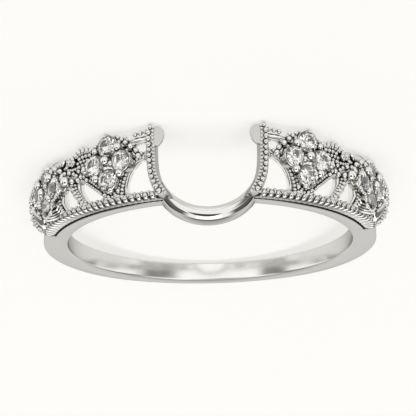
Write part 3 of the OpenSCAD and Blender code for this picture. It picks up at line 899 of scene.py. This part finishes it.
# ---------------------------------------------------------------- fluted front rail
def rail_top(phi):
    """Outer radius of the fluted rail, which tapers at its end."""
    return float(np.interp(phi, [0, 66, 70, 73, 77], [10.54, 10.54, 10.48, 10.34, 10.16]))


flutes = Shape()
RAIL_LOW, RAIL_END = 9.62, 76.9
rings = []
for phi in np.linspace(14.9, RAIL_END, 84):
    h = rail_top(phi)
    sec = rounded([(RAIL_LOW, 0.3), (h - 0.02, 0.3), (h - 0.02, 0.44), (h - 0.08, 0.48), (RAIL_LOW, 0.48)],
                  [0.02, 0.03, 0.03, 0.03, 0.02], 2)
    rings.append(cyl(phi, sec[:, 0], sec[:, 1]))
v, f = sweep(rings)
flutes.add(v, f, True)
# each flute is a round head on the edge of the plate with a tail that curls down the front face
# columns: degrees ahead, height from the top, front, radius
FLUTE = [(0.62, -0.02, 0.24, 0.06), (0.6, 0.0, 0.3, 0.125), (0.55, 0.0, 0.38, 0.17), (0.5, -0.02, 0.46, 0.18), (0.36, -0.16, 0.53, 0.165),
         (0.1, -0.34, 0.54, 0.14), (-0.3, -0.52, 0.52, 0.12), (-0.85, -0.68, 0.5, 0.1), (-1.5, -0.8, 0.48, 0.085), (-1.9, -0.85, 0.47, 0.05)]
count = 25
for k in range(count):
    phi = 16.4 + (k + 0.5) * (RAIL_END - 17.2) / count
    h = rail_top(phi)
    share = (h - RAIL_LOW) / (10.54 - RAIL_LOW)
    pts = np.array([cyl(max(phi + d, 15.4), max(h + dr * share - 0.05, RAIL_LOW + 0.07), a) for d, dr, a, _ in FLUTE])
    t = np.gradient(pts, axis=0)
    t /= np.linalg.norm(t, axis=1, keepdims=True)
    rings = []
    for i, row in enumerate(FLUTE):
        u = local_axes(phi)[0]
        u = u - t[i] * (u @ t[i])
        u /= np.linalg.norm(u)
        w = np.cross(t[i], u)
        rings.append([pts[i] + row[3] * (math.cos(q) * u + math.sin(q) * w) for q in np.linspace(0, 2 * np.pi, 12, endpoint=False)])
    v, f = sweep(rings)
    flutes.add(v, f, True)
    if share > 0.8:
        ball(flutes, cyl(phi + 1.72, h - 0.02, 0.27), (0.12, 0.12, 0.12), local_axes(phi), small=True)

# ---------------------------------------------------------------- stones
def brilliant(d):
    """Round brilliant with eight mains, stars and halves, girdle at height 0."""
    r = d / 2
    table_r, star_r, table_h, kite_h = 0.56 * r, 0.78 * r, 0.145 * d, 0.085 * d
    low_r, low_h, culet = 0.38 * r, -0.29 * d, -0.43 * d
    v, f = [], []

    def ring(count, rad, h, phase=0.0):
        base = len(v)
        for i in range(count):
            t = 2 * np.pi * (i + phase) / count
            v.append((rad * math.cos(t), rad * math.sin(t), h))
        return base

    top = ring(8, table_r, table_h)
    mid = ring(8, star_r, kite_h, 0.5)
    up = ring(16, r, 0.018 * d)
    dn = ring(16, r, -0.012 * d)
    low = ring(8, low_r, low_h, 0.0)
    v.append((0, 0, culet))
    tip = len(v) - 1
    f.append(tuple(top + i for i in range(8)))
    for i in range(8):
        j, h = (i + 1) % 8, (i - 1) % 8
        f.append((top + i, mid + i, top + j))
        f.append((top + i, mid + h, up + 2 * i, mid + i))
        f.append((mid + i, up + 2 * i, up + 2 * i + 1))
        f.append((mid + i, up + 2 * i + 1, up + (2 * i + 2) % 16))
        f.append((up + 2 * i, dn + 2 * i, dn + 2 * i + 1, up + 2 * i + 1))
        f.append((up + 2 * i + 1, dn + 2 * i + 1, dn + (2 * i + 2) % 16, up + (2 * i + 2) % 16))
        f.append((dn + 2 * i, low + i, dn + 2 * i + 1))
        f.append((dn + 2 * i + 1, low + i, low + j))
        f.append((dn + 2 * i + 1, low + j, dn + (2 * i + 2) % 16))
        f.append((low + i, tip, low + j))
    return np.array(v, float), f


number = 0
for side in (1, -1):
    for c in (INNER, OUTER_C):
        for t, ax in places(c):
            number += 1
            v, f = brilliant(c["d"] - 0.01)
            spin = 0.37 * number
            rot = np.array([[math.cos(spin), math.sin(spin), 0], [-math.sin(spin), math.cos(spin), 0], [0, 0, 1]])
            m = local_axes(c["phi"])
            p = (v @ rot) @ m + on(c, t, ax, GIRDLE)
            if side < 0:
                p = p * np.array([-1.0, 1, 1])
            g = Shape()
            g.add(p, f)
            g.object("brilliant_%02d" % number, gem, smooth=0, replaces=("stone_%02d" % number,))

groove_shadow_strip.object("painted_groove_shadow", shadow_paint_gold, 34)
hollow_shade_strip.object("painted_hollow_shade", hollow_shade_gold, 34)
strip_base.object("head_base", grooved, 34)
shank.object("shank", soft, 34)
band.object("ring_band", polished, 34, replaces=("band",))
plate.object("openwork_plate", cast, 40)
settings.object("stone_seats", seat, 40)
cups.object("brightened_stone_cups", bright, 40)
prongs.object("prong_beads", cast, 50)
beads.object("milgrain_beads", fine_beads, 50)
flutes.object("coin_edge", milled, 50)

# ---------------------------------------------------------------- floor, light, camera
m, nodes, links, shader = material("pale_floor")
shader.inputs["Roughness"].default_value = 0.9
shader.inputs["Emission Color"].default_value = (1.0, 0.99, 0.965, 1)
shader.inputs["Emission Strength"].default_value = 0.595
n = noise(nodes, links, 40.0, 2.0)
ramp = nodes.new("ShaderNodeValToRGB")
ramp.color_ramp.elements[0].color = (0.44, 0.437, 0.428, 1)
ramp.color_ramp.elements[1].color = (0.46, 0.457, 0.448, 1)
links.new(n.outputs["Fac"], ramp.inputs["Fac"])
links.new(ramp.outputs["Color"], shader.inputs["Base Color"])
mesh = bpy.data.meshes.new("floor")
mesh.from_pydata([(-1.5, -1.5, 0), (1.5, -1.5, 0), (1.5, 1.5, 0), (-1.5, 1.5, 0)], [], [(0, 1, 2, 3)])
mesh.materials.append(m)
floor = bpy.data.objects.new("floor", mesh)
bpy.context.scene.collection.objects.link(floor)
floor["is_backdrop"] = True

# photo frame: x to the right, u to the head, a to the front edge
TH, PSI, RHO = math.radians(73.98), math.radians(0.25), math.radians(-1.32)
c = np.array([math.sin(PSI), math.sin(TH) * math.cos(PSI), math.cos(TH) * math.cos(PSI)])
up0 = np.array([0, math.cos(TH), -math.sin(TH)])
vv = up0 - c * (up0 @ c)
vv /= np.linalg.norm(vv)
rr = np.cross(vv, c)
right = rr * math.cos(RHO) + vv * math.sin(RHO)
upward = -rr * math.sin(RHO) + vv * math.cos(RHO)


def photo(v):
    """Photo-frame direction to the world."""
    return turn(np.array([-v[0], -v[1], v[2]]))


c, right, upward = photo(c), photo(right), photo(upward)
FOCAL = 16.34 * 200
forward = -c * FOCAL + right * (208 - 210.0) + upward * (233.5 - 208)
forward /= np.linalg.norm(forward)
rx = np.cross(forward, upward)
rx /= np.linalg.norm(rx)
ux = np.cross(rx, forward)
cam = bpy.data.objects.new("camera", bpy.data.cameras.new("camera"))
cam.data.lens = FOCAL / 416 * 36
cam.data.sensor_width = 36
cam.data.clip_start, cam.data.clip_end = 0.01, 10
where = world(np.zeros(3)) + c * 0.2
cam.matrix_world = Matrix(((rx[0], ux[0], -forward[0], where[0]), (rx[1], ux[1], -forward[1], where[1]),
                           (rx[2], ux[2], -forward[2], where[2]), (0, 0, 0, 1)))
bpy.context.scene.collection.objects.link(cam)
bpy.context.scene.camera = cam


def area(name, place, target, size, power, size_y=None):
    data = bpy.data.lights.new(name, "AREA")
    data.energy = power
    data.size = size
    if size_y:
        data.shape = "RECTANGLE"
        data.size_y = size_y
    o = bpy.data.objects.new(name, data)
    o.location = place
    o.rotation_mode = "QUATERNION"
    o.rotation_quaternion = (Vector(target) - Vector(place)).to_track_quat("-Z", "Y")
    bpy.context.scene.collection.objects.link(o)
    return o


world_data = bpy.data.worlds.new("studio")
bpy.context.scene.world = world_data
world_data.use_nodes = True
wn, wl = world_data.node_tree.nodes, world_data.node_tree.links
wn.clear()


def wmath(op, x, y=None, z=None):
    n = wn.new("ShaderNodeMath")
    n.operation = op
    for i, q in enumerate((x, y, z)):
        if q is None:
            continue
        if isinstance(q, (int, float)):
            n.inputs[i].default_value = q
        else:
            wl.new(q, n.inputs[i])
    return n.outputs[0]


def wstep(x, low, high):
    n = wn.new("ShaderNodeMapRange")
    n.interpolation_type = "SMOOTHSTEP"
    n.inputs["From Min"].default_value = low
    n.inputs["From Max"].default_value = high
    wl.new(x, n.inputs["Value"])
    return n.outputs["Result"]


out = wn.new("ShaderNodeOutputWorld")
back = wn.new("ShaderNodeBackground")
coord = wn.new("ShaderNodeTexCoord")
sep = wn.new("ShaderNodeSeparateXYZ")
wl.new(coord.outputs["Generated"], sep.inputs["Vector"])
dx, dy, dz = sep.outputs
# a bright tent: a dark gap behind the camera, grey stands at both sides and a dimmer far side
gap = Vector([float(q) for q in c - 0.42 * upward - 0.12 * right]).normalized()
toward = wmath("ADD", wmath("ADD", wmath("MULTIPLY", dx, gap[0]), wmath("MULTIPLY", dy, gap[1])), wmath("MULTIPLY", dz, gap[2]))
dark = wstep(toward, 0.875, 0.925)
facing = wmath("ADD", wmath("MULTIPLY", dy, float(c[1])), wmath("MULTIPLY", dz, float(c[2])))
ring = wmath("MULTIPLY", wstep(facing, -0.6, -0.4), wmath("SUBTRACT", 1.0, wstep(facing, -0.12, 0.16)))
ring = wmath("MULTIPLY", ring, wstep(dz, 0.12, 0.3))
angle = wmath("ABSOLUTE", wmath("ARCTAN2", dx, wmath("MULTIPLY", dy, -1.0)))
turned = wmath("ARCTAN2", dx, wmath("MULTIPLY", dy, -1.0))
low_left = wmath("MULTIPLY", wstep(turned, -1.15, -0.88), wmath("SUBTRACT", 1.0, wstep(turned, -0.62, -0.4)))
low_right = wmath("MULTIPLY", wstep(turned, 0.62, 0.82), wmath("SUBTRACT", 1.0, wstep(turned, 1.0, 1.22)))
low_stand = wmath("ADD", low_left, low_right)
low_stand = wmath("MULTIPLY", low_stand, wmath("SUBTRACT", 1.0, wstep(dz, 0.2, 0.4)))
stand = wmath("MULTIPLY", wstep(angle, 0.95, 1.15), wmath("SUBTRACT", 1.0, wstep(angle, 1.9, 2.2)))
stand = wmath("MULTIPLY", stand, wstep(dz, 0.15, 0.23))
stand = wmath("MULTIPLY", stand, wmath("SUBTRACT", 1.0, wstep(dz, 0.68, 0.86)))
far = wmath("MULTIPLY", wstep(dy, 0.1, 0.4), wmath("SUBTRACT", 1.0, wstep(dz, 0.6, 0.85)))
level = wmath("MULTIPLY", 1.38, wmath("SUBTRACT", 1.0, wmath("MULTIPLY", ring, 0.8)))
level = wmath("MULTIPLY", level, wmath("SUBTRACT", 1.0, wmath("MULTIPLY", stand, 0.88)))
level = wmath("MULTIPLY", level, wmath("SUBTRACT", 1.0, wmath("MULTIPLY", low_stand, 0.84)))
level = wmath("MULTIPLY", level, wmath("SUBTRACT", 1.0, wmath("MULTIPLY", far, wmath("ADD", 0.18, wmath("MULTIPLY", wstep(dz, 0.15, 0.4), 0.3)))))
level = wmath("MULTIPLY", level, wmath("SUBTRACT", 1.0, wmath("MULTIPLY", dark, 0.95)))
tint = wn.new("ShaderNodeCombineColor")
wl.new(level, tint.inputs[0])
wl.new(wmath("MULTIPLY", level, 0.995), tint.inputs[1])
wl.new(wmath("MULTIPLY", level, 0.98), tint.inputs[2])
wl.new(tint.outputs[0], back.inputs["Color"])
wl.new(back.outputs["Background"], out.inputs["Surface"])

centre = (0, 0, 0.003)
area("top", (0.0, -0.05, 0.5), centre, 0.4, 0.32, 0.3)
area("left", (-0.34, 0.3, 0.3), centre, 0.25, 0.12, 0.2)
area("right", (0.34, 0.3, 0.3), centre, 0.25, 0.12, 0.2)

bpy.context.scene.view_settings.view_transform = "Standard"
bpy.context.scene.view_settings.look = "None"

bpy.context.view_layer.update()
low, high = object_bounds()
